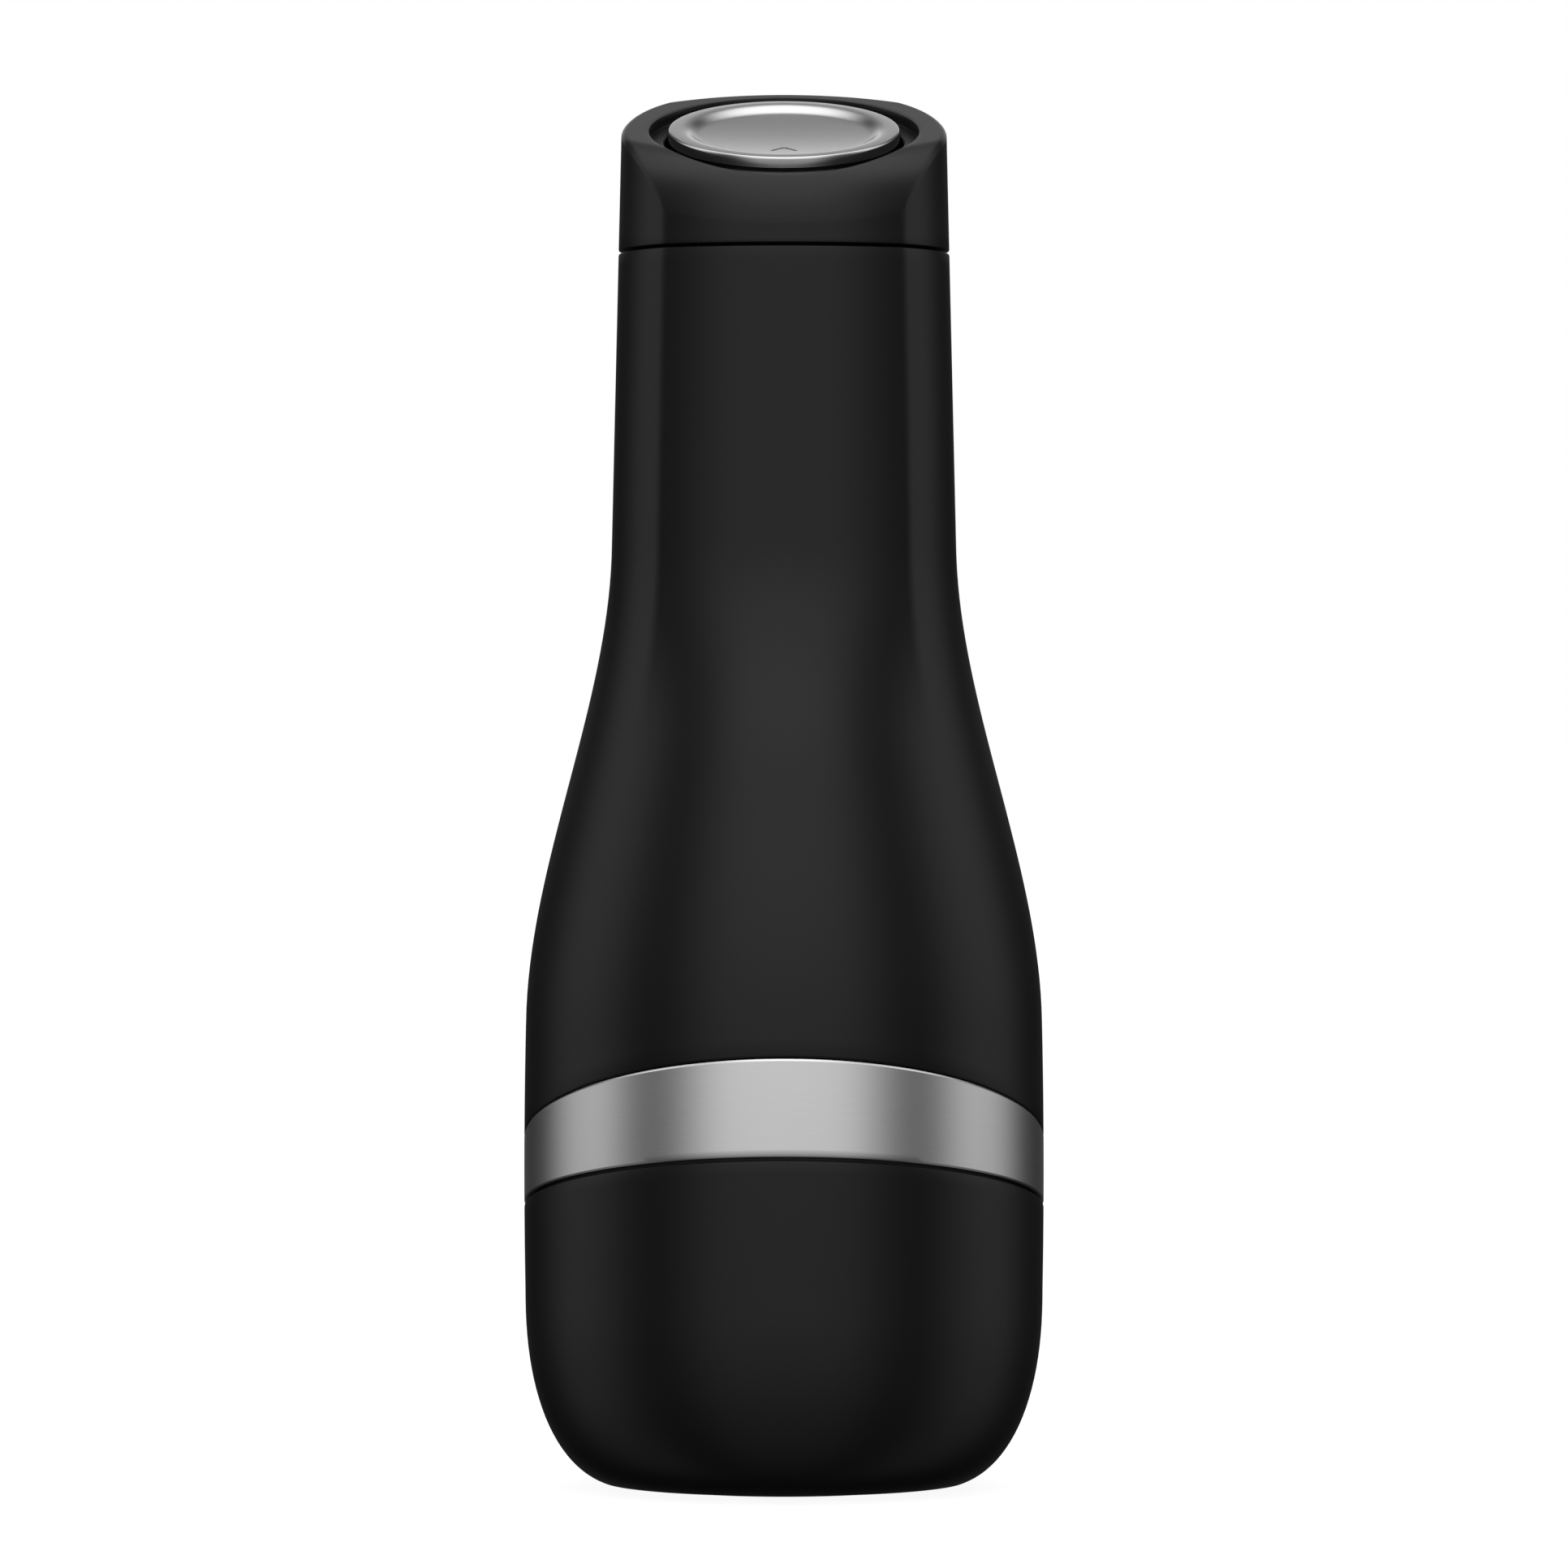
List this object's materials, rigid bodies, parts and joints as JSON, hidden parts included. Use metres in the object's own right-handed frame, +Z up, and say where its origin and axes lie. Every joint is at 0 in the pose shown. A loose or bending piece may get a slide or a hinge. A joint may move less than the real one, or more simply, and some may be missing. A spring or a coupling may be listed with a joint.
{
  "type": "soda carbonator",
  "caption": "Bottle-shaped black drinks carbonator with a slanted brushed-steel band, a screw-on head and a round push button in its slanted top.",
  "frame": {"origin": "centre of the foot's underside, on the surface it stands on", "axes": "+Z up along the bottle's axis, -Y towards the front, where the slanted top is low and the band is high"},
  "size_m": [0.1112, 0.111, 0.3002],
  "materials": {
    "black_shell": "satin black moulding with a very fine grain",
    "brushed_steel": "fine circumferential brushing",
    "dark_plastic": "glass-filled moulding",
    "aluminium": "drawn and turned aluminium, lightly satin",
    "drawn_steel": "deep-drawn, lightly satin",
    "machined_steel": "turned stainless steel",
    "brass": "turned brass",
    "rubber": "matt moulded rubber",
    "silicone": "translucent grey silicone",
    "natural_plastic": "natural acetal"
  },
  "bodies": {
    "housing": {"body_shell": "black_shell", "steel_band": "brushed_steel", "coupling_ring": "dark_plastic", "spigot_oring": "rubber", "pressure_bottle": "aluminium", "neck_bush": "natural_plastic"},
    "base": {"base_cup": "black_shell", "foot_pad": "rubber", "bottle_bumper": "rubber"},
    "valve_group": {"valve_block": "aluminium", "mouth_gasket": "silicone", "retaining_ring": "machined_steel", "gland_nut": "brass", "pin_seal": "rubber", "valve_spring": "machined_steel", "pierce_pin": "machined_steel", "co2_cartridge": "drawn_steel", "cartridge_sleeve": "aluminium", "sleeve_oring": "rubber", "wand_tube": "machined_steel", "diffuser_nozzle": "natural_plastic", "relief_cap": "brass", "relief_spring": "machined_steel"},
    "valve_pin": {"valve_pin": "machined_steel"},
    "relief_poppet": {"relief_poppet": "brass"},
    "head": {"head_shell": "black_shell", "guide_bush": "natural_plastic", "thread_collar": "dark_plastic", "collar_screw_1": "machined_steel", "collar_screw_2": "machined_steel", "collar_screw_3": "machined_steel"},
    "button": {"button_disc": "brushed_steel", "button_carrier": "dark_plastic", "push_pad": "natural_plastic", "pad_screw": "machined_steel"}
  },
  "joints": [
    {"name": "base_pull", "type": "slide", "parent": "housing", "child": "base", "axis": [0, 0, -1], "range_m": [0, 0.09]},
    {"name": "head_lift", "type": "slide", "parent": "housing", "child": "valve_group", "axis": [0, 0, 1], "range_m": [0, 0.01]},
    {"name": "head_twist", "type": "hinge", "parent": "valve_group", "child": "head", "pos_m": [0, 0, 0.2623], "axis": [0, 0, 1], "range_deg": [0, 720]},
    {"name": "button_press", "type": "slide", "parent": "head", "child": "button", "axis": [0, 0.3206, -0.9472], "range_m": [0, 0.0032], "stiffness_N_per_m": 2500, "springref_m": -0.003},
    {"name": "valve_pin_travel", "type": "slide", "parent": "valve_group", "child": "valve_pin", "axis": [0, 0, -1], "range_m": [0, 0.0034], "deforming": ["valve_spring"]},
    {"name": "relief_lift", "type": "slide", "parent": "valve_group", "child": "relief_poppet", "axis": [0, 0, 1], "range_m": [0, 0.0012], "stiffness_N_per_m": 1500, "springref_m": -0.002, "deforming": ["relief_spring"]}
  ],
  "couplings": [
    {"joint": "head_twist", "follows": "head_lift", "rad_per_m": 1256.6},
    {"joint": "valve_pin_travel", "follows": "button_press", "ratio": 1.0557}
  ]
}
